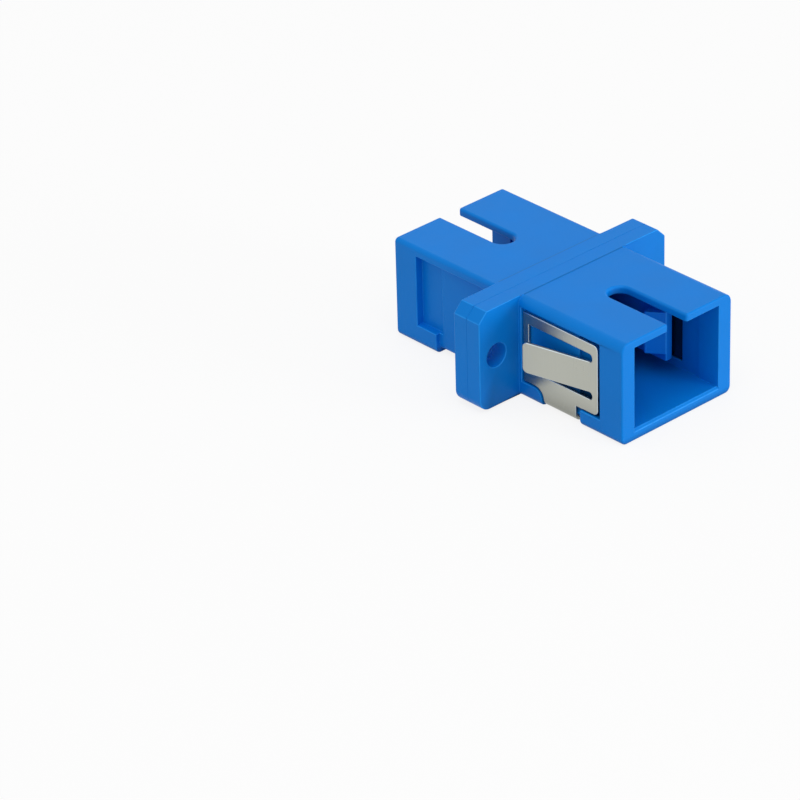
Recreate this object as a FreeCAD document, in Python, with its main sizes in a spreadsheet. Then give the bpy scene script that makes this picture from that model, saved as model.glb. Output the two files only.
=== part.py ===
import FreeCAD, Part
import os
import Sketcher

# SC simplex fibre adapter: two welded housing halves, two latch inserts, a split sleeve, a spring clip.
# Frame: X across the flange, Y along the optical axis, Z up; the origin lies on the resting plane, under
# the optical axis, in the weld plane half way through the flange. The clip half points towards -Y.
# Every half is drawn towards -Y; a half that belongs at +Y is turned by 180 degrees about Z.

SIZES = {
    # housing barrel
    "body_wide": 12.9, "body_high": 9.4, "barrel_long": 12.0, "foot_round": 0.6,
    "clip_half_round": 0.8, "plain_half_round": 0.4, "face_round": 0.18,
    # flange with two screw ears
    "flange_half": 1.5, "flange_wide": 21.9, "flange_low": 0.15, "flange_proud": 0.05, "weld_bevel": 0.02,
    "ear_bevel": 0.9, "ear_round": 1.1, "screw_pitch": 18.0, "screw_bore": 2.2, "axis_rise": 0.25,
    # plug cavity and its keyway
    "side_wall": 1.5, "floor_thick": 1.0, "roof_thick": 0.7, "port_lip": 2.3, "port_widen": 0.15,
    "key_wide": 2.15, "key_long": 7.6, "key_tip_round": 0.25, "mouth_bevel": 0.2,
    # seat of the latch insert, cut into the cavity walls, and room for the arms to spread
    "seat_side": 0.65, "seat_floor": 0.4, "seat_roof": 0.25, "seat_deep": 1.2, "seat_gap": 0.05,
    "relief_near": 3.4, "relief_far": 7.65, "relief_room": 0.6, "relief_skin": 0.3, "relief_clear": 0.25,
    # recess for the clip; lengths count from the flange face towards the port
    "recess_near": 0.3, "recess_step": 6.7, "recess_far": 9.4, "recess_roof": 0.85,
    "recess_deep": 0.45, "recess_deeper": 0.75, "clip_ledge": 1.5, "plain_ledge": 1.9,
    "channel_near": 2.6, "channel_far": 7.1, "channel_deep": 0.35, "channel_round": 0.5, "ledge_round": 0.9,
    # latch insert
    "barrel_wall": 0.65, "sleeve_play": 0.1, "lip_long": 0.9, "lip_bite": 0.15, "barrel_lead": 0.25,
    "arm_side": 0.88, "arm_out": 9.0, "arm_thick": 0.71, "arm_high": 5.3, "arm_root": 0.4,
    "hook_rise": 1.08, "hook_ramp": 1.33, "hook_land": 0.25, "hook_back": 0.25, "hook_high": 3.95,
    # split alignment sleeve
    "sleeve_bore": 2.49, "sleeve_wall": 0.355, "sleeve_long": 11.4, "sleeve_slit": 0.45, "sleeve_bevel": 0.12,
    # clip, one folded sheet
    "sheet_thick": 0.3, "bend_inner": 0.4, "clip_gap": 0.1, "plate_short": 0.35, "plate_drop": 0.4,
    "plate_round": 0.5, "strap_short": 0.6, "frame_near": 0.65, "frame_far": 0.65, "frame_low": 1.28,
    "frame_top": 1.0, "slot_low": 0.67, "slot_top": 0.75, "slot_round": 0.32,
    "tongue_reach": 6.5, "tongue_angle": 13.2, "root_bite": 0.4, "tongue_round": 0.45,
}

# places that follow from the sizes above
FLANGE_TOP = "(body_high + flange_proud)"
AXIS = "(body_high / 2 + axis_rise)"
PORT_HALF = "(body_wide / 2 - side_wall)"
PORT_TOP = "(body_high - roof_thick)"
SEAT_HALF = "(body_wide / 2 - side_wall + seat_side)"
SEAT_LOW = "(floor_thick - seat_floor)"
SEAT_TOP = "(body_high - roof_thick + seat_roof)"
RECESS_X = "(body_wide / 2 - recess_deep)"
RECESS_TOP = "(body_high - recess_roof)"
SLEEVE_DIA = "(sleeve_bore + 2 * sleeve_wall)"
SLEEVE_ROOM = "(sleeve_long / 2 + sleeve_play)"
ARM_OUTER = "(body_wide / 2 - side_wall - arm_side)"
ARM_INNER = "(body_wide / 2 - side_wall - arm_side - arm_thick)"
SHEET_X = "(body_wide / 2 - recess_deep + sheet_thick)"
PLATE_NEAR = "(recess_near + clip_gap)"
PLATE_FAR = "(recess_far - plate_short)"
PLATE_LOW = "(clip_ledge + clip_gap)"
PLATE_TOP = "(body_high - recess_roof - plate_drop)"
STRAP_NEAR = "(channel_near + clip_gap)"
STRAP_FAR = "(channel_far - strap_short)"
WINDOW_LOW = "(clip_ledge + clip_gap + frame_low)"
WINDOW_TOP = "(body_high - recess_roof - plate_drop - frame_top)"
REACH = "4 * Sizes.body_wide"

doc = FreeCAD.newDocument("fibre_adapter")
sheet = doc.addObject("Spreadsheet::Sheet", "Sizes")
for row, (alias, value) in enumerate(SIZES.items(), 1):
    sheet.set("A%d" % row, alias)
    sheet.set("B%d" % row, str(value))
    sheet.setAlias("B%d" % row, alias)
doc.recompute()


def names_of(expression):
    """A size expression with every alias pointed at the sheet."""
    words, word = [], ""
    for sign in expression + " ":
        if sign.isalnum() or sign in "_.":
            word += sign
        else:
            words.append("Sizes." + word if word in SIZES else word)
            words.append(sign)
            word = ""
    return "".join(words).strip()


def sketch(body, name, role, offset="0"):
    """An empty sketch on one of the body's own origin planes, moved along the plane's normal."""
    drawn = body.newObject("Sketcher::SketchObject", name)
    plane = [p for p in body.Origin.OriginFeatures if p.Role == role][0]
    drawn.AttachmentSupport = (plane, [""])
    drawn.MapMode = "FlatFace"
    drawn.setExpression("AttachmentOffset.Base.z", names_of(offset))
    return drawn


def place_point(drawn, geo, pos, across, up):
    """Tie one sketch point to the sheet by its two coordinates."""
    for kind, text in (("DistanceX", across), ("DistanceY", up)):
        text = names_of(text)
        value = float(drawn.evalExpression(text))
        index = drawn.addConstraint(Sketcher.Constraint(kind, -1, 1, geo, pos, value))
        drawn.setExpression("Constraints[%d]" % index, text)


def outline(drawn, corners):
    """A closed straight-sided outline whose corners are all size expressions."""
    spots = [[float(drawn.evalExpression(names_of(text))) for text in pair] for pair in corners]
    points = [FreeCAD.Vector(across, up, 0) for across, up in spots]
    first = drawn.GeometryCount
    for start, end in zip(points, points[1:] + points[:1]):
        drawn.addGeometry(Part.LineSegment(start, end), False)
    for index in range(len(points)):
        following = first + (index + 1) % len(points)
        drawn.addConstraint(Sketcher.Constraint("Coincident", first + index, 2, following, 1))
        place_point(drawn, first + index, 1, *corners[index])
    return drawn


def rectangle(drawn, left, low, right, top):
    return outline(drawn, [(left, low), (right, low), (right, top), (left, top)])


def circle(drawn, across, up, diameter):
    """A circle with its centre and diameter tied to the sheet."""
    spot = [float(drawn.evalExpression(names_of(c))) for c in (across, up)]
    size = float(drawn.evalExpression(names_of(diameter)))
    geo = drawn.addGeometry(
        Part.Circle(FreeCAD.Vector(spot[0], spot[1], 0), FreeCAD.Vector(0, 0, 1), size / 2), False)
    place_point(drawn, geo, 3, across, up)
    index = drawn.addConstraint(Sketcher.Constraint("Diameter", geo, size))
    drawn.setExpression("Constraints[%d]" % index, names_of(diameter))
    return drawn


def grow(body, kind, drawn, length, reversed_=False, midplane=False):
    """A pad or a pocket that has to change the body's volume in the expected sense."""
    before = body.Tip.Shape.Volume if body.Tip else 0.0
    feature = body.newObject("PartDesign::" + kind, kind + "_" + drawn.Name)
    feature.Profile = drawn
    feature.setExpression("Length", names_of(length))
    feature.Reversed = reversed_
    if midplane:
        feature.SideType = "Symmetric"
    drawn.Visibility = False
    body.Tip = feature
    doc.recompute()
    change = feature.Shape.Volume - before
    if (change <= 1e-6) == (kind == "Pad"):
        raise RuntimeError("%s on %s changes nothing (%.4f)" % (kind, drawn.Name, change))
    return feature


def edges_at(feature, test):
    """Names of the edges whose bounding box passes the test."""
    found = []
    for index, edge in enumerate(feature.Shape.Edges, 1):
        if edge.Length > 1e-4 and test(edge.BoundBox):
            found.append("Edge%d" % index)
    return found


def dress(body, kind, name, size, test):
    """Fillet or chamfer on the edges that pass the test."""
    base = body.Tip
    feature = body.newObject("PartDesign::" + kind, name)
    chosen = edges_at(base, test)
    if not chosen:
        raise RuntimeError("no edges for " + name)
    feature.Base = (base, chosen)
    feature.setExpression("Radius" if kind == "Fillet" else "Size", names_of(size))
    body.Tip = feature
    doc.recompute()
    if not feature.Shape.isValid() or feature.Shape.Volume < 1e-6:
        raise RuntimeError("dressing failed: " + name)
    return feature


def mirror(body, features, name, role="YZ_Plane"):
    """The same features on the other side of the symmetry plane."""
    feature = body.newObject("PartDesign::Mirrored", name)
    feature.Originals = features
    plane = [p for p in body.Origin.OriginFeatures if p.Role == role][0]
    feature.MirrorPlane = (plane, [""])
    body.Tip = feature
    doc.recompute()
    return feature


def near(a, b, slack=0.02):
    return abs(a - b) < slack


def along(box, axis):
    """Whether an edge's box runs along one axis only."""
    spans = {"x": box.XLength, "y": box.YLength, "z": box.ZLength}
    return spans[axis] > 1e-3 and all(v < 1e-3 for k, v in spans.items() if k != axis)


def value(expression):
    """What a size expression comes to, in millimetres."""
    return float(sheet.evalExpression(expression))


def new_body(label, turned):
    body = doc.addObject("PartDesign::Body", label)
    body.Label = label
    if turned:
        half_turn = FreeCAD.Rotation(FreeCAD.Vector(0, 0, 1), 180)
        body.Placement = FreeCAD.Placement(FreeCAD.Vector(0, 0, 0), half_turn)
    return body


def housing(label, turned, top_round, ledge, takes_clip):
    """One outer half: barrel, half flange with ears, plug cavity, keyway and clip recess."""
    body = new_body(label, turned)
    tag = label.split("_")[1]
    half_wide, top = value("body_wide / 2"), value("body_high")
    port_y = -value("flange_half + barrel_long")

    grow(body, "Pad", rectangle(sketch(body, tag + "_barrel", "XZ_Plane"),
         "-body_wide / 2", "0", "body_wide / 2", "body_high"), "flange_half + barrel_long")
    dress(body, "Fillet", tag + "_top_edges", top_round,
          lambda b: along(b, "y") and near(b.ZMin, top) and near(abs(b.XMin), half_wide))
    dress(body, "Fillet", tag + "_foot_edges", "foot_round",
          lambda b: along(b, "y") and near(b.ZMin, 0) and near(abs(b.XMin), half_wide))
    dress(body, "Fillet", tag + "_face_edges", "face_round",
          lambda b: near(b.YMin, port_y) and b.YLength < 1e-3)

    ear_x = "flange_wide / 2"
    flange = outline(sketch(body, tag + "_flange", "XZ_Plane"), [
        ("-" + ear_x, "flange_low"), (ear_x, "flange_low"), (ear_x, FLANGE_TOP + " - ear_bevel"),
        (ear_x + " - ear_bevel", FLANGE_TOP), ("-" + ear_x + " + ear_bevel", FLANGE_TOP),
        ("-" + ear_x, FLANGE_TOP + " - ear_bevel")])
    grow(body, "Pad", flange, "flange_half")
    dress(body, "Fillet", tag + "_ear_feet", "ear_round",
          lambda b: along(b, "y") and near(b.ZMin, value("flange_low")) and near(abs(b.XMin), value(ear_x)))
    dress(body, "Chamfer", tag + "_weld_edges", "weld_bevel",
          lambda b: near(b.YMin, 0) and b.YLength < 1e-3 and b.ZMax > value("ear_round + 2 * flange_low"))
    bores = sketch(body, tag + "_screw_bores", "XZ_Plane")
    for side in ("-", ""):
        circle(bores, side + "screw_pitch / 2", AXIS, "screw_bore")
    grow(body, "Pocket", bores, REACH, midplane=True)

    # recess for the clip: shallow floor, deeper floor towards the port, strap channel round the foot
    shallow = rectangle(sketch(body, tag + "_recess", "YZ_Plane", "-body_wide"),
                        "-flange_half - recess_far", ledge, "-flange_half - recess_near", RECESS_TOP)
    shallow_cut = grow(body, "Pocket", shallow, "body_wide / 2 + recess_deep", reversed_=True)
    deeper = rectangle(sketch(body, tag + "_recess_deeper", "YZ_Plane", "-body_wide"),
                       "-flange_half - recess_far", ledge, "-flange_half - recess_step", RECESS_TOP)
    deeper_cut = grow(body, "Pocket", deeper, "body_wide / 2 + recess_deeper", reversed_=True)
    mirror(body, [shallow_cut, deeper_cut], tag + "_recess_pair")
    channel = outline(sketch(body, tag + "_channel", "XZ_Plane", "flange_half + channel_near"), [
        ("-body_wide", ledge), ("-body_wide", "-body_high"), ("body_wide", "-body_high"),
        ("body_wide", ledge), (RECESS_X, ledge), (RECESS_X, "channel_deep"),
        ("-" + RECESS_X, "channel_deep"), ("-" + RECESS_X, ledge)])
    grow(body, "Pocket", channel, "channel_far - channel_near", reversed_=True)
    dress(body, "Fillet", tag + "_channel_edges", "channel_round",
          lambda b: along(b, "y") and near(b.ZMin, value("channel_deep"))
          and near(abs(b.XMin), value(RECESS_X)))
    if takes_clip:
        dress(body, "Fillet", tag + "_ledge_corners", "ledge_round",
              lambda b: along(b, "x") and near(b.ZMin, value(ledge))
              and near(b.YMin, -value("flange_half + channel_near")))

    # plug cavity: lead-in lip, slightly wider main part, seat of the insert, room for the arms
    grow(body, "Pocket", rectangle(sketch(body, tag + "_port", "XZ_Plane"),
         "-" + PORT_HALF, "floor_thick", PORT_HALF, PORT_TOP), REACH, midplane=True)
    grow(body, "Pocket", rectangle(sketch(body, tag + "_cavity", "XZ_Plane"),
         "-" + PORT_HALF + " - port_widen", "floor_thick", PORT_HALF + " + port_widen", PORT_TOP),
         "flange_half + barrel_long - port_lip", reversed_=True)
    grow(body, "Pocket", rectangle(sketch(body, tag + "_seat", "XZ_Plane"),
         "-" + SEAT_HALF, SEAT_LOW, SEAT_HALF, SEAT_TOP), "seat_deep", reversed_=True)
    # relief behind the arms, deepest at their free ends; it leaves a skin under the recess outside it
    relief_low = AXIS + " - arm_high / 2 - relief_room"
    relief_top = AXIS + " + arm_high / 2 + relief_room"
    for name, floor_x, first, last in (
            ("_relief", "body_wide / 2 - recess_deeper - relief_skin", "seat_deep",
             "flange_half + relief_far"),
            ("_relief_deep", RECESS_X + " - relief_skin", "flange_half + relief_near",
             "flange_half + recess_step - relief_clear")):
        grow(body, "Pocket", rectangle(sketch(body, tag + name, "XZ_Plane", first),
             "-(" + floor_x + ")", relief_low, floor_x, relief_top),
             last + " - (" + first + ")", reversed_=True)

    # keyway through the roof down to the axis, round at its closed end (just short of a full half circle)
    key_y = "-(flange_half + barrel_long)"
    key = rectangle(sketch(body, tag + "_keyway", "XY_Plane", FLANGE_TOP),
                    "-key_wide / 2", key_y + " - port_lip", "key_wide / 2", key_y + " + key_long")
    grow(body, "Pocket", key, FLANGE_TOP + " - " + AXIS)
    key_x = value("key_wide / 2")
    dress(body, "Fillet", tag + "_key_end", "key_wide * 0.495",
          lambda b: along(b, "z") and near(abs(b.XMin), key_x) and near(b.YMin, value(key_y + " + key_long"))
          and b.ZMin > top / 2)
    dress(body, "Fillet", tag + "_key_tips", "key_tip_round",
          lambda b: along(b, "z") and near(abs(b.XMin), key_x) and near(b.YMin, port_y) and b.ZMin > top / 2)
    dress(body, "Chamfer", tag + "_mouth_bevel", "mouth_bevel",
          lambda b: near(b.YMin, port_y) and along(b, "x") and near(b.ZMin, value("floor_thick")))
    return body


def latch_insert(label, turned):
    """One inner half: seat plate, sleeve barrel with an end lip, two arms with hooks."""
    body = new_body(label, turned)
    tag = label.split("_")[2]
    grow(body, "Pad", rectangle(sketch(body, tag + "_seat_plate", "XZ_Plane"),
         "-" + SEAT_HALF + " + seat_gap", SEAT_LOW + " + seat_gap",
         SEAT_HALF + " - seat_gap", SEAT_TOP + " - seat_gap"), "seat_deep")
    grow(body, "Pad", circle(sketch(body, tag + "_barrel", "XZ_Plane"), "0", AXIS,
         SLEEVE_DIA + " + 2 * seat_gap + 2 * barrel_wall"), SLEEVE_ROOM + " + lip_long")
    arms = sketch(body, tag + "_arms", "XZ_Plane")
    low, high = AXIS + " - arm_high / 2", AXIS + " + arm_high / 2"
    rectangle(arms, ARM_INNER, low, ARM_OUTER, high)
    rectangle(arms, "-" + ARM_OUTER, low, "-" + ARM_INNER, high)
    grow(body, "Pad", arms, "arm_out")
    dress(body, "Fillet", tag + "_arm_roots", "arm_root",
          lambda b: along(b, "z") and near(b.YMin, value("-seat_deep"))
          and (near(abs(b.XMin), value(ARM_OUTER)) or near(abs(b.XMin), value(ARM_INNER))))

    # hooks: lead-in ramp, crest and a back face that holds the plug
    hook = sketch(body, tag + "_hook", "XY_Plane", AXIS + " - hook_high / 2")
    inner, buried = "-" + ARM_INNER, "-" + ARM_INNER + " - arm_thick / 2"
    crest, ramp_end = "-" + ARM_INNER + " + hook_rise", "-arm_out + hook_ramp"
    back = ramp_end + " + hook_land + hook_back"
    outline(hook, [(buried, "-arm_out"), (inner, "-arm_out"), (crest, ramp_end),
                   (crest, ramp_end + " + hook_land"), (inner, back), (buried, back)])
    hook_pad = grow(body, "Pad", hook, "hook_high")
    mirror(body, [hook_pad], tag + "_hook_pair")

    # bore for the sleeve, closed down to a lip at its outer end
    lip_bore = SLEEVE_DIA + " - 2 * lip_bite"
    grow(body, "Pocket", circle(sketch(body, tag + "_lip_bore", "XZ_Plane"), "0", AXIS, lip_bore),
         REACH, midplane=True)
    grow(body, "Pocket", circle(sketch(body, tag + "_sleeve_bore", "XZ_Plane"), "0", AXIS,
         SLEEVE_DIA + " + 2 * seat_gap"), SLEEVE_ROOM, reversed_=True)
    mouth_y = -value(SLEEVE_ROOM + " + lip_long")
    dress(body, "Chamfer", tag + "_barrel_lead", "barrel_lead",
          lambda b: near(b.YMax, mouth_y) and b.YLength < 1e-3 and near(b.XLength, value(lip_bore)))
    return body


def sleeve():
    """Split ceramic sleeve: a tube with one slit all the way along its top."""
    body = new_body("alignment_sleeve", False)
    ring = sketch(body, "ring", "XZ_Plane")
    circle(ring, "0", AXIS, SLEEVE_DIA)
    circle(ring, "0", AXIS, "sleeve_bore")
    grow(body, "Pad", ring, "sleeve_long", midplane=True)
    grow(body, "Pocket", rectangle(sketch(body, "slit", "XZ_Plane"), "-sleeve_slit / 2", AXIS,
         "sleeve_slit / 2", AXIS + " + " + SLEEVE_DIA), REACH, midplane=True)
    end = value("sleeve_long / 2")
    dress(body, "Chamfer", "end_leads", "sleeve_bevel",
          lambda b: b.YLength < 1e-3 and near(abs(b.YMin), end) and b.XLength > value(SLEEVE_DIA) / 2)
    return body


def clip():
    """Spring clip: a folded strip with two framed plates and a tongue sprung out of each."""
    body = new_body("retaining_clip", False)
    low_out = "channel_deep - sheet_thick"
    fold = outline(sketch(body, "fold", "XZ_Plane", "flange_half + " + PLATE_NEAR), [
        ("-" + SHEET_X, PLATE_TOP), ("-" + SHEET_X, low_out), (SHEET_X, low_out), (SHEET_X, PLATE_TOP),
        (RECESS_X, PLATE_TOP), (RECESS_X, "channel_deep"), ("-" + RECESS_X, "channel_deep"),
        ("-" + RECESS_X, PLATE_TOP)])
    grow(body, "Pad", fold, PLATE_FAR + " - " + PLATE_NEAR)
    dress(body, "Fillet", "bend_inside", "bend_inner",
          lambda b: along(b, "y") and near(b.ZMin, value("channel_deep"))
          and near(abs(b.XMin), value(RECESS_X)))
    dress(body, "Fillet", "bend_outside", "bend_inner + sheet_thick",
          lambda b: along(b, "y") and near(b.ZMin, value(low_out)) and near(abs(b.XMin), value(SHEET_X)))

    # the strap is narrower than the plates; the window leaves a frame round each tongue
    for name, first, last in (("strap_side_near", " - " + STRAP_NEAR, ""),
                              ("strap_side_far", " - barrel_long", " - " + STRAP_FAR)):
        grow(body, "Pocket", rectangle(sketch(body, name, "YZ_Plane"), "-flange_half" + first,
             "-" + PLATE_LOW, "-flange_half" + last, PLATE_LOW), REACH, midplane=True)
    dress(body, "Fillet", "strap_shoulder", "ledge_round + clip_gap",
          lambda b: b.XLength < value("sheet_thick") + 0.01 and b.YLength < 1e-3 and b.ZLength < 1e-3
          and near(b.ZMin, value(PLATE_LOW)) and near(b.YMin, value("-flange_half - " + STRAP_NEAR)))
    window_near, window_far = "recess_near + clip_gap + frame_near", "recess_far - plate_short - frame_far"
    root = window_far + " - root_bite"
    tongue_low, tongue_top = WINDOW_LOW + " + slot_low", WINDOW_TOP + " - slot_top"
    corners = [(window_near, WINDOW_LOW), (window_near, WINDOW_TOP), (window_far, WINDOW_TOP),
               (window_far, tongue_top), (root, tongue_top), (root, tongue_low),
               (window_far, tongue_low), (window_far, WINDOW_LOW)]
    window = outline(sketch(body, "window", "YZ_Plane"),
                     [("-flange_half - (" + across + ")", up) for across, up in corners])
    grow(body, "Pocket", window, REACH, midplane=True)
    dress(body, "Fillet", "slot_ends", "slot_round",
          lambda b: along(b, "x") and near(b.YMin, value("-flange_half - (" + window_far + ")"))
          and value(PLATE_LOW) + 0.1 < b.ZMin < value(PLATE_TOP) - 0.1)
    dress(body, "Fillet", "plate_corners", "plate_round",
          lambda b: along(b, "x") and near(b.YMin, value("-flange_half - " + PLATE_FAR)))

    # tongue: a flat strip bent outwards at its root
    tongue = sketch(body, "tongue", "XY_Plane", tongue_low)
    root_y = "-flange_half - (" + root + ")"
    sine, cosine = "sin(tongue_angle * 1 deg)", "cos(tongue_angle * 1 deg)"
    tip_y = root_y + " + tongue_reach * " + cosine
    outline(tongue, [
        ("-" + SHEET_X, root_y + " - sheet_thick"), ("-" + RECESS_X, root_y + " - sheet_thick"),
        ("-" + RECESS_X, root_y), ("-" + RECESS_X + " - tongue_reach * " + sine, tip_y),
        ("-" + RECESS_X + " - tongue_reach * " + sine + " - sheet_thick * " + cosine,
         tip_y + " - sheet_thick * " + sine),
        ("-" + SHEET_X, root_y)])
    tongue_pad = grow(body, "Pad", tongue, tongue_top + " - (" + tongue_low + ")")
    dress(body, "Fillet", "tongue_tip", "tongue_round",
          lambda b: b.ZLength < 1e-3 and b.YMax > value(tip_y) - 0.01 and b.XLength < 2 * value("sheet_thick")
          and b.XMin < -value("body_wide / 2"))
    mirror(body, [tongue_pad], "tongue_pair")
    return body


pieces = [
    housing("housing_clip_half", False, "clip_half_round", "clip_ledge", True),
    housing("housing_plain_half", True, "plain_half_round", "plain_ledge", False),
    latch_insert("latch_insert_front", False),
    latch_insert("latch_insert_rear", True),
    sleeve(),
    clip(),
]

doc.recompute()
for thing in doc.Objects:
    if "Invalid" in thing.State or "Error" in thing.State:
        raise RuntimeError("not solved: " + thing.Label)
for piece in pieces:
    if piece.Shape.isNull() or not piece.Shape.isValid() or not piece.Shape.Solids:
        raise RuntimeError("bad shape: " + piece.Label)
os.makedirs("parts", exist_ok=True)
for piece in pieces:
    piece.Shape.exportStep("parts/%s.step" % piece.Label)
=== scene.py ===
from math import radians

import bmesh
import bpy
from bpy.props import FloatProperty, FloatVectorProperty, PointerProperty
from bpy.types import Operator, Panel, PropertyGroup
from mathutils import Matrix, Vector


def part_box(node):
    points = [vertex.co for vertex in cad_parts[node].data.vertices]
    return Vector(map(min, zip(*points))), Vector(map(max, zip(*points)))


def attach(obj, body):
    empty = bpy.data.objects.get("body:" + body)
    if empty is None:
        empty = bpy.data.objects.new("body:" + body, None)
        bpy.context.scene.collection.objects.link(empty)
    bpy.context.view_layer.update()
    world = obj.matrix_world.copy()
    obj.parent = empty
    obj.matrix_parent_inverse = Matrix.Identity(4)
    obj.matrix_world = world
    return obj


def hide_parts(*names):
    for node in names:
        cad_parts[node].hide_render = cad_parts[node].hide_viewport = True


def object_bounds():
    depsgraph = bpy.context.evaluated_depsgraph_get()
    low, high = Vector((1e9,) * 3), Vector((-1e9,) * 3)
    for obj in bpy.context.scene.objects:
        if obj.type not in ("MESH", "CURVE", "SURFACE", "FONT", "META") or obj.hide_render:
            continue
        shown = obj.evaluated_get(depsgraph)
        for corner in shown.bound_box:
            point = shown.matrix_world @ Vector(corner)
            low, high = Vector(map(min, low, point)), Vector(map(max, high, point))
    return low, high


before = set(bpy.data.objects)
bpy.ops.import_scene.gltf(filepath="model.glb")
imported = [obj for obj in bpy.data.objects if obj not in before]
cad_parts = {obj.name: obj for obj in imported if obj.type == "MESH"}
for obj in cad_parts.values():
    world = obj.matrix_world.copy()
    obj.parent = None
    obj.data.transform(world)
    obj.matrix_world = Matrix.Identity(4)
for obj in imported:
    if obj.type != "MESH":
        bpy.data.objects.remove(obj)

bl_info = {
    "name": "Fibre adapter finish",
    "version": (1, 0, 0),
    "blender": (4, 5, 0),
    "location": "3D View > Sidebar > Adapter",
    "description": "Finishes the pieces of a flanged fibre adapter and sets them in a pale studio",
    "category": "Object",
}

ROOT = "root"
HOUSINGS = {"housing_clip_half": "clip_half_shell", "housing_plain_half": "plain_half_shell"}
INSERTS = {"latch_insert_front": "front_latch", "latch_insert_rear": "rear_latch"}

MM = 0.001
CAD_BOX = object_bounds()
FINE = 0.01 * MM
SAME_POINT = 0.0005 * MM
NO_LENGTH = 1e-9
NO_VECTOR = 1e-12

# Bends between faces: within a flat patch, at an edge that is eased, and between smooth fans
FLAT_WITHIN = radians(0.5)
SHARP_OVER = radians(38)
HARD_OVER = radians(50)
# An edge is eased where both its walls are wider than this many edge radii
WALL_ROOM = 2.2

# The flange, the low step of its top over the body, and the painted shadow line along that step
FLANGE_HALF = 1.5 * MM
STEP_ENDS = 6.25 * MM
STEP_ABOVE = 9.3 * MM
LINE_END = 5.8 * MM
LINE_WIDE = 0.2 * MM
LINE_PAST = 0.02 * MM
LINE_LOWEST = -0.1 * MM

# Attributes of the finished meshes: the masks of the painted edge highlight and of the painted
# shade
EDGE = "outer_edge"
SHADE_MASK = "depth"

# Painted shade in the reliefs behind the latch arms: from the cavity wall out to the shallow or the
# deep floor
RELIEF_FROM, SHALLOW_FLOOR, DEEP_FLOOR = 5.25 * MM, 5.55 * MM, 5.8 * MM
DEEP_END, RELIEF_END = 8.1 * MM, 9.3 * MM
RELIEF_LOW, RELIEF_HIGH = 0.9 * MM, 8.6 * MM
# Painted shade on the clip's recess floor: full below the first height, none above the second
RECESS_FROM, RECESS_TO = 5.64 * MM, 6.08 * MM
RECESS_SPLIT = (3.9 * MM, 5.0 * MM)
RECESS_SHADE = 0.85
# Painted shade in the port's cavity: darker deeper in, towards the middle
CAVITY_LOW, CAVITY_HIGH = 0.9 * MM, 8.8 * MM
CAVITY_MOUTH, CAVITY_RUN = 13.4 * MM, 12.0 * MM
CAVITY_SHADE = 0.4
# Painted shade at the foot of the housings and of the clip
FOOT_LOW, FOOT_TOP = 0.2 * MM, 0.6 * MM
FOOT_SHADE = 0.4
CLIP_FOOT_UP_TO = 2.4 * MM

# Materials: tones are shares of the body colour, scales are per metre
NOISE_SPREAD = (0.3, 0.7)
# Break-up of the painted edge highlight by slow noise
HIGHLIGHT_SPREAD, HIGHLIGHT_LEAST = (0.3, 0.6), 0.6
PLASTIC_CLOUDS, PLASTIC_TONES, PLASTIC_GLOSS = 220.0, (0.93, 1.07), (0.36, 0.46)
PLASTIC_IOR, PLASTIC_SPECULAR = 1.5, 0.12
STRIP_CLOUDS, STRIP_TONES, STRIP_GLOSS = 300.0, (0.9, 1.08), (0.26, 0.38)
STRIP_STRETCH, STRIP_CLOUD_SHARE, STRIP_LINE_DEPTH = 0.012, 0.4, 0.0006 * MM
CERAMIC_GRAIN, CERAMIC_CLOUDS = 30000.0, 400.0
CERAMIC_TONES, CERAMIC_GLOSS = (0.96, 1.03), (0.12, 0.22)
CERAMIC_IOR, CERAMIC_GRAIN_DEPTH = 2.1, 0.0003 * MM

# Stage: paper tones in bounced and in direct view, and the softboxes' places, aims and sizes
PAPER_BOUNCED, PAPER_SEEN, PAPER_GLOW, PAPER_ROUGH = 0.80, 0.95, 0.85, 0.9
FLOOR_DROP = 0.02 * MM
SENSOR_WIDE, NEAR_CLIP = 36.0, 10 * MM
KEY_PLACE, KEY_AIM, KEY_SIZE = (-0.12, -0.12, 0.65), (0, 0, 0), 0.50
FILL_PLACE, FILL_AIM, FILL_SIZE = (0.26, -0.60, 0.10), (0, 0, 0.005), 0.19


# ---------------------------------------------------------------- sizes and colours


class PlasticLook(PropertyGroup):
    """Blue moulded plastic of the housing halves and the latch inserts."""

    housing_blue: FloatVectorProperty(
        name="Housing blue", description="Body colour of the two housing halves",
        default=(0.001, 0.214, 0.725), min=0.0, max=1.0, subtype="COLOR", size=3)
    insert_blue: FloatVectorProperty(
        name="Insert blue", description="Body colour of the latch inserts",
        default=(0.002, 0.200, 0.740), min=0.0, max=1.0, subtype="COLOR", size=3)
    # Painted highlight: a lighter blue laid on the outer edges where they would catch the light
    edge_highlight_blue: FloatVectorProperty(
        name="Rubbed blue", description="Lighter blue along the rubbed outer edges",
        default=(0.030, 0.370, 1.0), min=0.0, max=1.0, subtype="COLOR", size=3)
    edge_round: FloatProperty(
        name="Edge rounding", description="Radius left on the sharp edges by the mould",
        default=0.09 * MM, min=0.0, unit="LENGTH", precision=5)
    # Share of the painted edge highlight
    rub: FloatProperty(
        name="Edge rub", description="How far the outer edges are rubbed bright",
        default=0.8, min=0.0, max=1.0)
    # Painted shade: a dark line painted where the flange stands on the body's top
    crease_shadow: FloatProperty(
        name="Corner dirt",
        description="Darkness of the line where the flange stands on the body's top",
        default=0.4, min=0.0, max=1.0)
    # Painted shade: darkness laid on the reliefs, the recess, the port's cavity and the foot
    shade_dark: FloatProperty(
        name="Depth shade",
        description="Darkness of the deep tone, which is full in the reliefs behind the latch arms",
        default=0.85, min=0.0, max=1.0)
    grain_size: FloatProperty(
        name="Grain size", description="Width of one pit of the spark-eroded mould face",
        default=0.09 * MM, min=0.01 * MM, unit="LENGTH", precision=5)
    grain_depth: FloatProperty(
        name="Grain depth", description="Depth of the spark-eroded grain",
        default=0.0012 * MM, min=0.0, unit="LENGTH", precision=6)


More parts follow.
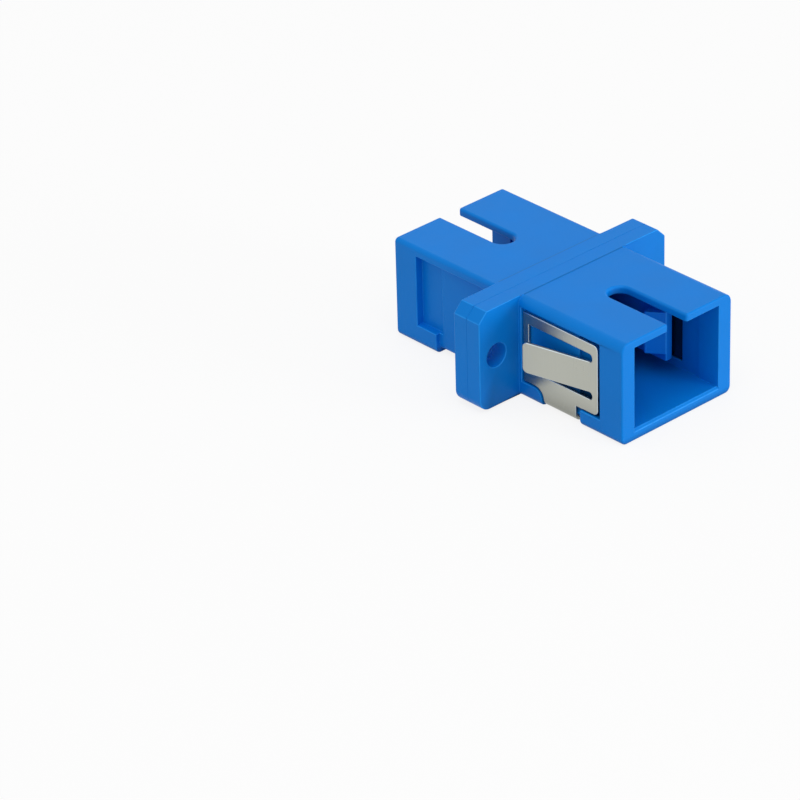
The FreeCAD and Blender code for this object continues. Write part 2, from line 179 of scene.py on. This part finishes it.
class MetalLook(PropertyGroup):
    """Rolled spring strip of the clip and ground ceramic of the sleeve."""

    clip_grey: FloatVectorProperty(
        name="Clip grey", description="Reflected colour of the stainless strip",
        default=(0.475, 0.485, 0.43), min=0.0, max=1.0, subtype="COLOR", size=3)
    sleeve_white: FloatVectorProperty(
        name="Sleeve white", description="Colour of the ceramic sleeve",
        default=(0.86, 0.84, 0.79), min=0.0, max=1.0, subtype="COLOR", size=3)
    # Painted highlight: a brighter colour laid on the strip's outer edges
    edge_highlight_silver: FloatVectorProperty(
        name="Edge silver", description="Brighter colour of the tumbled edges of the strip",
        default=(0.72, 0.82, 0.88), min=0.0, max=1.0, subtype="COLOR", size=3)
    # Painted shade on the strip, growing towards the foot
    foot_shade: FloatProperty(
        name="Foot shade", description="Darkness of the strip where it turns under the foot",
        default=0.5, min=0.0, max=1.0)
    sheet_edge: FloatProperty(
        name="Sheet edge rounding", description="Radius of the tumbled edges of the strip",
        default=0.08 * MM, min=0.0, unit="LENGTH", precision=5)
    sleeve_edge: FloatProperty(
        name="Sleeve edge rounding", description="Radius of the ground edges of the sleeve",
        default=0.03 * MM, min=0.0, unit="LENGTH", precision=5)
    line_pitch: FloatProperty(
        name="Rolling line pitch", description="Distance between rolling lines across the strip",
        default=0.05 * MM, min=0.01 * MM, unit="LENGTH", precision=5)


class StageLook(PropertyGroup):
    """Camera, floor and lamps."""

    camera_place: FloatVectorProperty(
        name="Camera place", description="Where the lens stands",
        default=(-232.165 * MM, -236.044 * MM, 187.825 * MM),
        subtype="TRANSLATION", unit="LENGTH", size=3)
    camera_yaw: FloatProperty(
        name="Yaw", description="Turn of the view from +Y towards +X",
        default=radians(42.144), subtype="ANGLE")
    camera_pitch: FloatProperty(
        name="Pitch", description="Tilt of the view below the horizon",
        default=radians(30.003), subtype="ANGLE")
    camera_roll: FloatProperty(
        name="Roll", description="Clockwise lean of the camera",
        default=radians(1.716), subtype="ANGLE")
    focal_length: FloatProperty(
        name="Focal length", description="Lens length on a 36 mm wide sensor, in millimetres",
        default=202.5, min=10.0)
    floor_wide: FloatProperty(
        name="Floor width", description="Width of the square floor",
        default=3.0, min=0.1, unit="LENGTH")
    sky_level: FloatProperty(
        name="Sky level", description="Even light from all round", default=0.55, min=0.0)
    key_level: FloatProperty(
        name="Key level", description="Power of the large softbox above, in watts",
        default=1.5, min=0.0)
    fill_level: FloatProperty(
        name="Fill level", description="Power of the low softbox in front, in watts",
        default=1.78, min=0.0)


# ---------------------------------------------------------------- shader parts


def feed(tree, socket, value):
    """Give an input socket another node's output, or a plain value."""
    if isinstance(value, bpy.types.NodeSocket):
        tree.links.new(value, socket)
    else:
        socket.default_value = value


def add_node(tree, kind, place, **settings):
    """A node of the given kind; settings name its properties or, by socket name, its inputs."""
    node = tree.nodes.new(kind)
    node.location = place
    for name, setting in settings.items():
        if hasattr(node, name):
            setattr(node, name, setting)
        else:
            feed(tree, node.inputs[name.replace("_", " ")], setting)
    return node


def maths(tree, place, operation, *values, clamped=False):
    """The output of a Math node; each value is a number or another node's output."""
    node = add_node(tree, "ShaderNodeMath", place, operation=operation, use_clamp=clamped)
    for socket, value in zip(node.inputs, values):
        feed(tree, socket, value)
    return node.outputs[0]


def ranged(tree, place, value, source, target):
    """The value, carried from the source's two ends to the target's, and held between them."""
    node = add_node(tree, "ShaderNodeMapRange", place, Value=value, From_Min=source[0],
                    From_Max=source[1], To_Min=target[0], To_Max=target[1])
    return node.outputs["Result"]


def new_group(name, inputs, outputs):
    """An empty shader group: its tree, the sockets that it is fed and the node that ends it.

    Inputs are numbers by their label, next to the vector that each group is given. Outputs are
    labels of numbers.
    """
    tree = bpy.data.node_groups.new(name, "ShaderNodeTree")
    tree.interface.new_socket("Vector", in_out="INPUT", socket_type="NodeSocketVector")
    for label, default in inputs.items():
        socket = tree.interface.new_socket(label, in_out="INPUT", socket_type="NodeSocketFloat")
        socket.default_value = default
    for label in outputs:
        tree.interface.new_socket(label, in_out="OUTPUT", socket_type="NodeSocketFloat")
    start = tree.nodes.new("NodeGroupInput")
    return tree, start.outputs, tree.nodes.new("NodeGroupOutput")


def shared(name, make):
    """A shader group by its name, made the first time that it is asked for."""
    return bpy.data.node_groups.get(name) or make(name)


def grain_group(name):
    """Fine pits for a height, and slow clouds that vary the tone and the gloss."""
    tree, start, end = new_group(
        name,
        {"Grain Scale": 10000.0, "Cloud Scale": 250.0, "Gloss Low": 0.3, "Gloss High": 0.4},
        ("Height", "Tone", "Roughness"))
    pits = add_node(tree, "ShaderNodeTexNoise", (-400, 200), Detail=3.0, Roughness=0.6,
                    Vector=start["Vector"], Scale=start["Grain Scale"]).outputs["Fac"]
    clouds = add_node(tree, "ShaderNodeTexNoise", (-400, -100), Detail=2.0, Roughness=0.5,
                      Vector=start["Vector"], Scale=start["Cloud Scale"]).outputs["Fac"]
    half = maths(tree, (-150, 50), "MULTIPLY", pits, 0.5)
    blend = maths(tree, (-150, -150), "MULTIPLY_ADD", clouds, 0.5, half)
    feed(tree, end.inputs["Height"], pits)
    feed(tree, end.inputs["Tone"], clouds)
    feed(tree, end.inputs["Roughness"],
         ranged(tree, (60, -150), blend, NOISE_SPREAD, (start["Gloss Low"], start["Gloss High"])))
    return tree


def edge_highlight_group(name):
    """Mask of the painted edge highlight: the piece's own edge attribute, broken up by slow noise.
    """
    tree, start, end = new_group(
        name, {"Edge": 0.0, "Amount": 0.8, "Break Scale": 900.0}, ("Mask",))
    noise = add_node(tree, "ShaderNodeTexNoise", (-500, -100), Detail=2.0,
                     Vector=start["Vector"], Scale=start["Break Scale"]).outputs["Fac"]
    broken = ranged(tree, (-300, -100), noise, HIGHLIGHT_SPREAD, (HIGHLIGHT_LEAST, 1.0))
    strong = maths(tree, (-100, 100), "MULTIPLY", start["Edge"], start["Amount"])
    feed(tree, end.inputs["Mask"],
         maths(tree, (80, 0), "MULTIPLY", strong, broken, clamped=True))
    return tree


def crease_shadow_group(name):
    """Mask of two painted shadow lines along X, one each side of the middle plane, that fade to
    both sides.
    """
    tree, start, end = new_group(
        name,
        {"Middle": FLANGE_HALF, "Half Width": LINE_WIDE / 2, "Half Length": LINE_END,
         "Lowest": LINE_LOWEST},
        ("Mask",))
    split = add_node(tree, "ShaderNodeSeparateXYZ", (-600, 0), Vector=start["Vector"]).outputs
    away = maths(tree, (-520, 200), "ABSOLUTE", split["Y"])
    past = maths(tree, (-440, 300), "SUBTRACT", away, start["Middle"])
    off = maths(tree, (-400, 100), "ABSOLUTE", past)
    fade = ranged(tree, (-200, 100), off, (0.0, start["Half Width"]), (1.0, 0.0))
    side = maths(tree, (-400, -100), "ABSOLUTE", split["X"])
    within = maths(tree, (-200, -100), "LESS_THAN", side, start["Half Length"])
    above = maths(tree, (-200, -300), "GREATER_THAN", split["Z"], start["Lowest"])
    first = maths(tree, (0, 0), "MULTIPLY", fade, within)
    feed(tree, end.inputs["Mask"], maths(tree, (150, 0), "MULTIPLY", first, above))
    return tree


def overlaid(tree, place, colour, mask, over):
    """The colour output with a plain colour laid over it where the mask is one."""
    return add_node(tree, "ShaderNodeMix", place, data_type="RGBA", Factor=mask, A=colour,
                    B=(*over, 1)).outputs["Result"]


def clouded(tree, base, tones, clouds):
    """The base colour, varied by the clouds between two tones of itself."""
    low, high = tones
    return add_node(tree, "ShaderNodeMix", (-450, 200), data_type="RGBA", Factor=clouds,
                    A=(*[part * low for part in base], 1),
                    B=(*[min(1, part * high) for part in base], 1)).outputs["Result"]


def highlighted(tree, coords, colour, bright, amount):
    """The colour output with a painted highlight, a brighter tone, on the piece's outer edges."""
    edge = add_node(tree, "ShaderNodeAttribute", (-800, 400), attribute_name=EDGE)
    mask = add_node(tree, "ShaderNodeGroup", (-600, 450),
                    node_tree=shared("painted_edge_highlight", edge_highlight_group),
                    Vector=coords, Edge=edge.outputs["Fac"], Amount=amount)
    return overlaid(tree, (-350, 300), colour, mask.outputs["Mask"], bright)


def crease_shadowed(tree, coords, colour, dark):
    """The colour output with a painted shadow line along the foot of the flange, on the body's top.
    """
    moved = add_node(tree, "ShaderNodeMapping", (-900, 650), Vector=coords,
                     Location=(0, 0, -CAD_BOX[1][2]))
    line = add_node(tree, "ShaderNodeGroup", (-700, 650),
                    node_tree=shared("painted_crease_shadow", crease_shadow_group),
                    Vector=moved.outputs["Vector"], Middle=FLANGE_HALF + LINE_PAST)
    return overlaid(tree, (-250, 450), colour, line.outputs["Mask"], dark)


def shade_painted(tree, colour, dark):
    """The colour output, turning to the dark one, a painted shade, where the piece's depth
    attribute is one.
    """
    depth = add_node(tree, "ShaderNodeAttribute", (-500, 900), attribute_name=SHADE_MASK)
    return overlaid(tree, (-150, 650), colour, depth.outputs["Fac"], dark)


def darker(colour, share):
    """The colour with a share of it taken away."""
    return [part * (1 - share) for part in colour]


def new_material(name):
    """A material with its node tree, its Principled shader and the piece's own coordinates."""
    made = bpy.data.materials.new(name)
    made.use_nodes = True
    tree = made.node_tree
    coords = add_node(tree, "ShaderNodeTexCoord", (-1300, 0)).outputs["Object"]
    return made, tree, tree.nodes["Principled BSDF"], coords


def grained(tree, coords, grain, clouds, gloss):
    """The outputs of the moulded grain, with its scales and its range of gloss."""
    low, high = gloss
    return add_node(tree, "ShaderNodeGroup", (-800, 0),
                    node_tree=shared("moulded_grain", grain_group), Vector=coords,
                    Grain_Scale=grain, Cloud_Scale=clouds, Gloss_Low=low, Gloss_High=high).outputs


def surfaced(tree, shader, colour, gloss, height, depth):
    """Feed the shader a colour, a gloss, and a height of the given depth as a bump."""
    bump = add_node(tree, "ShaderNodeBump", (-450, -250), Strength=1.0, Distance=depth,
                    Height=height)
    feed(tree, shader.inputs["Base Color"], colour)
    feed(tree, shader.inputs["Roughness"], gloss)
    feed(tree, shader.inputs["Normal"], bump.outputs["Normal"])


def plastic(name, blue, look):
    """Moulded plastic: clouded colour, painted edge highlights, painted shade and a satin, eroded
    face.
    """
    made, tree, shader, coords = new_material(name)
    grain = grained(tree, coords, 1 / look.grain_size, PLASTIC_CLOUDS, PLASTIC_GLOSS)
    colour = clouded(tree, blue, PLASTIC_TONES, grain["Tone"])
    # Painted highlight on the outer edges
    colour = highlighted(tree, coords, colour, look.edge_highlight_blue, look.rub)
    # Painted shadow line where the flange meets the body's top
    colour = crease_shadowed(tree, coords, colour, darker(blue, look.crease_shadow))
    # Painted shade in the hollows and at the foot
    colour = shade_painted(tree, colour, darker(blue, look.shade_dark))
    surfaced(tree, shader, colour, grain["Roughness"], grain["Height"], look.grain_depth)
    shader.inputs["IOR"].default_value = PLASTIC_IOR
    shader.inputs["Specular IOR Level"].default_value = PLASTIC_SPECULAR
    return made


def rolled_strip(name, look):
    """Stainless spring strip: rolling lines, faint clouds, painted edge highlights and painted
    shade at the foot.
    """
    made, tree, shader, coords = new_material(name)
    along = add_node(tree, "ShaderNodeMapping", (-1100, 0), Vector=coords,
                     Scale=(STRIP_STRETCH, 1.0, STRIP_STRETCH))
    lines = add_node(tree, "ShaderNodeTexNoise", (-850, 100), Vector=along.outputs["Vector"],
                     Scale=1 / look.line_pitch, Detail=4.0).outputs["Fac"]
    clouds = add_node(tree, "ShaderNodeTexNoise", (-850, -200), Vector=coords,
                      Scale=STRIP_CLOUDS, Detail=3.0).outputs["Fac"]
    mixed = add_node(tree, "ShaderNodeMix", (-600, -50), data_type="FLOAT",
                     Factor=STRIP_CLOUD_SHARE, A=lines, B=clouds).outputs["Result"]
    gloss = ranged(tree, (-380, -150), mixed, NOISE_SPREAD, STRIP_GLOSS)
    colour = clouded(tree, look.clip_grey, STRIP_TONES, mixed)
    # Painted highlight on the strip's outer edges
    colour = highlighted(tree, coords, colour, look.edge_highlight_silver, 1.0)
    # Painted shade towards the foot of the strip
    colour = shade_painted(tree, colour, darker(look.clip_grey, look.foot_shade))
    surfaced(tree, shader, colour, gloss, lines, STRIP_LINE_DEPTH)
    shader.inputs["Metallic"].default_value = 1.0
    return made


def ceramic(name, white):
    """Ground zirconia: off-white, glossy, with very fine grinding marks."""
    made, tree, shader, coords = new_material(name)
    grain = grained(tree, coords, CERAMIC_GRAIN, CERAMIC_CLOUDS, CERAMIC_GLOSS)
    colour = clouded(tree, white, CERAMIC_TONES, grain["Tone"])
    surfaced(tree, shader, colour, grain["Roughness"], grain["Height"], CERAMIC_GRAIN_DEPTH)
    shader.inputs["IOR"].default_value = CERAMIC_IOR
    return made


# ---------------------------------------------------------------- pieces


def spread(left, joined):
    """Groups of faces, taken out of the set left, each reached over edges that pass the test."""
    while left:
        group = [left.pop()]
        for face in group:
            for edge in face.edges:
                if joined(edge):
                    fresh = [other for other in edge.link_faces if other in left]
                    group.extend(fresh)
                    left.difference_update(fresh)
        yield group


def patches(shape, bend):
    """For each face, the area and the mean width of the patch that it belongs to.

    A patch is what can be reached over edges that turn by less than the given bend.
    """
    def joined(edge):
        return edge.is_manifold and edge.calc_face_angle(0.0) < bend

    facts = {}
    for patch in spread(set(shape.faces), joined):
        area = sum(face.calc_area() for face in patch)
        rim = sum(edge.calc_length() for face in patch for edge in face.edges if not joined(edge))
        facts.update((face, (area, 2 * area / max(rim, NO_LENGTH))) for face in patch)
    return facts


def corner_normals(shape):
    """A normal for each face corner, led by the largest flat patch of the fan round its vertex."""
    regions = patches(shape, FLAT_WITHIN)
    found = {}
    for vertex in shape.verts:
        def joined(edge):
            return (vertex in edge.verts and edge.is_manifold
                    and edge.calc_face_angle(0.0) < HARD_OVER)

        for fan in spread(set(vertex.link_faces), joined):
            total = sum((face.normal * (regions[face][0] / MM ** 2) ** 2 for face in fan), Vector())
            normal = total.normalized() if total.length > NO_VECTOR else vertex.normal
            found.update(((face, vertex), normal) for face in fan)
    return [found[face, loop.vert] for face in shape.faces for loop in face.loops]


def on_step(edge):
    """True for the edge of the flange's top where the body's top lies close below it."""
    return all(abs(vertex.co.x) < STEP_ENDS + FINE
               and abs(abs(vertex.co.y) - FLANGE_HALF) < FINE
               and vertex.co.z > CAD_BOX[1][2] - FINE for vertex in edge.verts)


def mark_edges(layer, made):
    """Set the edge attribute to one along the middle of each eased outer edge, by its new faces."""
    for face in made:
        ridges = [edge for edge in face.edges if all(other in made for other in edge.link_faces)]
        if ridges and max(ridges, key=lambda edge: edge.calc_length()).is_convex:
            for loop in face.loops:
                loop[layer] = float(all(other in made for other in loop.vert.link_faces))


def housing_shade(place):
    """Share of the painted shade at a point of a housing: nought outside, one down in the reliefs.
    """
    side, along, height = abs(place.x), abs(place.y), place.z
    relief_floor = SHALLOW_FLOOR if along > DEEP_END else DEEP_FLOOR
    if (RELIEF_FROM < side < relief_floor and along < RELIEF_END
            and RELIEF_LOW < height < RELIEF_HIGH):
        return 1.0
    if (RECESS_FROM < side < RECESS_TO and place.y < 0
            and RELIEF_LOW < height < RECESS_SPLIT[0] + FINE):
        return RECESS_SHADE
    if side < RELIEF_FROM and CAVITY_LOW < height < CAVITY_HIGH:
        return CAVITY_SHADE * min(1, max(0, (CAVITY_MOUTH - along) / CAVITY_RUN))
    return FOOT_SHADE * min(1, max(0, (FOOT_TOP - height) / (FOOT_TOP - FOOT_LOW)))


def clip_shade(place):
    """Share of the painted shade at a point of the clip: nought on the plates, one under the foot.
    """
    return min(1, max(0, 1 - place.z / CLIP_FOOT_UP_TO))


SHADES = {"housing": housing_shade, "clip": clip_shade}


def bisected(shape, place, normal, within):
    """Cut the faces whose corners all pass the test along a plane."""
    faces = [face for face in shape.faces if all(within(vertex.co) for vertex in face.verts)]
    edges = {edge for face in faces for edge in face.edges}
    corners = {vertex for face in faces for vertex in face.verts}
    bmesh.ops.bisect_plane(shape, geom=[*corners, *edges, *faces], dist=SAME_POINT,
                           plane_co=place, plane_no=normal)


def housing_cuts(shape):
    """Rows of corners at the step's ends, across the recess floors and above the port's foot."""
    for side in (-STEP_ENDS, STEP_ENDS):
        bisected(shape, (side, 0, 0), (1, 0, 0), lambda place: place.z > STEP_ABOVE)
    for height in RECESS_SPLIT:
        bisected(shape, (0, 0, height), (0, 0, 1),
                 lambda place: RECESS_FROM < abs(place.x) < RECESS_TO and place.y < 0)
    bisected(shape, (0, 0, FOOT_TOP), (0, 0, 1),
             lambda place: abs(place.y) > CAD_BOX[1][1] - FINE)


def eased_copy(node_name, piece_name, radius, material, slot):
    """The CAD solid with its doubles merged and its sharp edges eased, for the CAD node."""
    shape = bmesh.new()
    shape.from_mesh(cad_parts[node_name].data)
    edge_layer = shape.loops.layers.float.new(EDGE)
    shade_layer = shape.verts.layers.float.new(SHADE_MASK)
    bmesh.ops.remove_doubles(shape, verts=shape.verts, dist=SAME_POINT)
    if slot == "housing":
        housing_cuts(shape)
    shape.normal_update()
    walls = patches(shape, SHARP_OVER)
    sharp = [edge for edge in shape.edges
             if edge.is_manifold and edge.calc_face_angle(0.0) > SHARP_OVER and not on_step(edge)
             and all(walls[face][1] > WALL_ROOM * radius for face in edge.link_faces)]
    eased = bmesh.ops.bevel(shape, geom=sharp, offset=radius, offset_type="OFFSET",
                            affect="EDGES", segments=2, profile=0.5, material=-1,
                            clamp_overlap=False)
    shape.normal_update()
    mark_edges(edge_layer, set(eased["faces"]))
    # Share of painted shade at each corner
    if slot in SHADES:
        for vertex in shape.verts:
            vertex[shade_layer] = SHADES[slot](vertex.co)
    low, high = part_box(node_name)
    for vertex in shape.verts:
        vertex.co = [min(max(place, least), most)
                     for place, least, most in zip(vertex.co, low, high)]
    for face in shape.faces:
        face.smooth = True
    shape.normal_update()
    normals = corner_normals(shape)
    mesh = bpy.data.meshes.new(piece_name)
    shape.to_mesh(mesh)
    shape.free()
    mesh.normals_split_custom_set(normals)
    mesh.materials.append(material)
    piece = bpy.data.objects.new(piece_name, mesh)
    bpy.context.scene.collection.objects.link(piece)
    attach(piece, ROOT)
    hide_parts(node_name)


class ADAPTER_OT_housings(Operator):
    """Ease the edges of both housing halves and give them blue moulded plastic"""

    bl_idname = "adapter.housings"
    bl_label = "Housing halves"

    def execute(self, context):
        look = context.scene.adapter_plastic
        finish = plastic("housing_plastic", look.housing_blue, look)
        for node_name, piece_name in HOUSINGS.items():
            eased_copy(node_name, piece_name, look.edge_round, finish, "housing")
        return {"FINISHED"}


class ADAPTER_OT_inserts(Operator):
    """Ease the edges of both latch inserts and give them their plastic"""

    bl_idname = "adapter.inserts"
    bl_label = "Latch inserts"

    def execute(self, context):
        look = context.scene.adapter_plastic
        finish = plastic("insert_plastic", look.insert_blue, look)
        for node_name, piece_name in INSERTS.items():
            eased_copy(node_name, piece_name, look.edge_round, finish, "insert")
        return {"FINISHED"}


class ADAPTER_OT_sleeve(Operator):
    """Ease the edges of the split sleeve and give it its ground ceramic"""

    bl_idname = "adapter.sleeve"
    bl_label = "Split sleeve"

    def execute(self, context):
        look = context.scene.adapter_metal
        finish = ceramic("sleeve_ceramic", look.sleeve_white)
        eased_copy("alignment_sleeve", "split_sleeve", look.sleeve_edge, finish, "sleeve")
        return {"FINISHED"}


class ADAPTER_OT_clip(Operator):
    """Ease the sheet edges of the spring clip and give it rolled steel"""

    bl_idname = "adapter.clip"
    bl_label = "Spring clip"

    def execute(self, context):
        look = context.scene.adapter_metal
        finish = rolled_strip("clip_steel", look)
        eased_copy("retaining_clip", "spring_clip", look.sheet_edge, finish, "clip")
        return {"FINISHED"}


# ---------------------------------------------------------------- stage


def seen_directly(tree, place):
    """One for camera, glossy and transmission rays, else nought."""
    x, y = place
    ray = add_node(tree, "ShaderNodeLightPath", (x - 500, y)).outputs
    first = maths(tree, (x - 250, y), "MAXIMUM", ray["Is Camera Ray"], ray["Is Glossy Ray"])
    return maths(tree, place, "MAXIMUM", first, ray["Is Transmission Ray"])


def floor_material(name):
    """Near-white paper that keeps the shadow and reads as white to the camera."""
    made = bpy.data.materials.new(name)
    made.use_nodes = True
    tree = made.node_tree
    shader = tree.nodes["Principled BSDF"]
    shader.inputs["Roughness"].default_value = PAPER_ROUGH
    shader.inputs["Specular IOR Level"].default_value = 0.0
    glow = add_node(tree, "ShaderNodeEmission", (0, -300), Strength=1.0)
    seen = seen_directly(tree, (-400, 200))
    paper = add_node(tree, "ShaderNodeMix", (-200, -100), data_type="RGBA", Factor=seen,
                     A=(PAPER_BOUNCED, PAPER_BOUNCED, PAPER_BOUNCED, 1),
                     B=(PAPER_SEEN, PAPER_SEEN, PAPER_SEEN, 1))
    feed(tree, shader.inputs["Base Color"], paper.outputs["Result"])
    mixed = add_node(tree, "ShaderNodeMixShader", (300, 0),
                     Fac=maths(tree, (-100, 200), "MULTIPLY", seen, PAPER_GLOW))
    feed(tree, mixed.inputs[1], shader.outputs["BSDF"])
    feed(tree, mixed.inputs[2], glow.outputs["Emission"])
    feed(tree, tree.nodes["Material Output"].inputs["Surface"], mixed.outputs["Shader"])
    return made


def pale_world(level):
    """White backdrop to the eye, an even grey light to everything else."""
    world = bpy.data.worlds.new("studio")
    world.use_nodes = True
    tree = world.node_tree
    tree.nodes.clear()
    light = add_node(tree, "ShaderNodeBackground", (0, 100), Color=(1, 1, 1, 1), Strength=level)
    shown = add_node(tree, "ShaderNodeBackground", (0, -150), Color=(1, 1, 1, 1), Strength=1.0)
    mixed = add_node(tree, "ShaderNodeMixShader", (250, 0), Fac=seen_directly(tree, (-200, 300)))
    feed(tree, mixed.inputs[1], light.outputs["Background"])
    feed(tree, mixed.inputs[2], shown.outputs["Background"])
    add_node(tree, "ShaderNodeOutputWorld", (450, 0), Surface=mixed.outputs["Shader"])
    bpy.context.scene.world = world


def softbox(name, place, aim, size, power):
    """A square area lamp at a place, facing an aim."""
    lamp = bpy.data.lights.new(name, "AREA")
    lamp.size = size
    lamp.energy = power
    box = bpy.data.objects.new(name, lamp)
    bpy.context.scene.collection.objects.link(box)
    box.location = place
    box.rotation_euler = (Vector(aim) - Vector(place)).to_track_quat("-Z", "Y").to_euler()


class ADAPTER_OT_stage(Operator):
    """Set up the camera, the pale floor, the backdrop and the softboxes"""

    bl_idname = "adapter.stage"
    bl_label = "Stage"

    def execute(self, context):
        look = context.scene.adapter_stage
        scene = context.scene
        lens = bpy.data.cameras.new("camera")
        lens.sensor_width = SENSOR_WIDE
        lens.lens = look.focal_length
        lens.clip_start = NEAR_CLIP
        camera = bpy.data.objects.new("camera", lens)
        scene.collection.objects.link(camera)
        camera.matrix_world = (
            Matrix.Translation(look.camera_place) @ Matrix.Rotation(-look.camera_yaw, 4, "Z")
            @ Matrix.Rotation(radians(90) - look.camera_pitch, 4, "X")
            @ Matrix.Rotation(-look.camera_roll, 4, "Z"))
        scene.camera = camera

        bpy.ops.mesh.primitive_plane_add(size=look.floor_wide, location=(0, 0, -FLOOR_DROP))
        floor = context.object
        floor.name = "floor"
        floor.data.materials.append(floor_material("floor_paper"))

        pale_world(look.sky_level)
        softbox("key", KEY_PLACE, KEY_AIM, KEY_SIZE, look.key_level)
        softbox("fill", FILL_PLACE, FILL_AIM, FILL_SIZE, look.fill_level)
        scene.view_settings.view_transform = "Standard"
        return {"FINISHED"}


STEPS = (ADAPTER_OT_housings, ADAPTER_OT_inserts, ADAPTER_OT_sleeve, ADAPTER_OT_clip,
         ADAPTER_OT_stage)
SETTINGS = {"adapter_plastic": PlasticLook, "adapter_metal": MetalLook,
            "adapter_stage": StageLook}


class ADAPTER_PT_panel(Panel):
    """Buttons for each group of pieces and for the stage, and the settings that they read."""

    bl_idname = "ADAPTER_PT_panel"
    bl_label = "Fibre adapter"
    bl_space_type = "VIEW_3D"
    bl_region_type = "UI"
    bl_category = "Adapter"

    def draw(self, context):
        for step in STEPS:
            self.layout.operator(step.bl_idname)
        for setting in SETTINGS:
            group = getattr(context.scene, setting)
            for name in group.__annotations__:
                self.layout.prop(group, name)


CLASSES = (*SETTINGS.values(), *STEPS, ADAPTER_PT_panel)


def register():
    for made in CLASSES:
        bpy.utils.register_class(made)
    for name, group in SETTINGS.items():
        setattr(bpy.types.Scene, name, PointerProperty(type=group))


def unregister():
    for name in SETTINGS:
        delattr(bpy.types.Scene, name)
    for made in reversed(CLASSES):
        bpy.utils.unregister_class(made)


def main():
    register()
    bpy.ops.adapter.housings()
    bpy.ops.adapter.inserts()
    bpy.ops.adapter.sleeve()
    bpy.ops.adapter.clip()
    bpy.ops.adapter.stage()


if __name__ == "__main__":
    main()
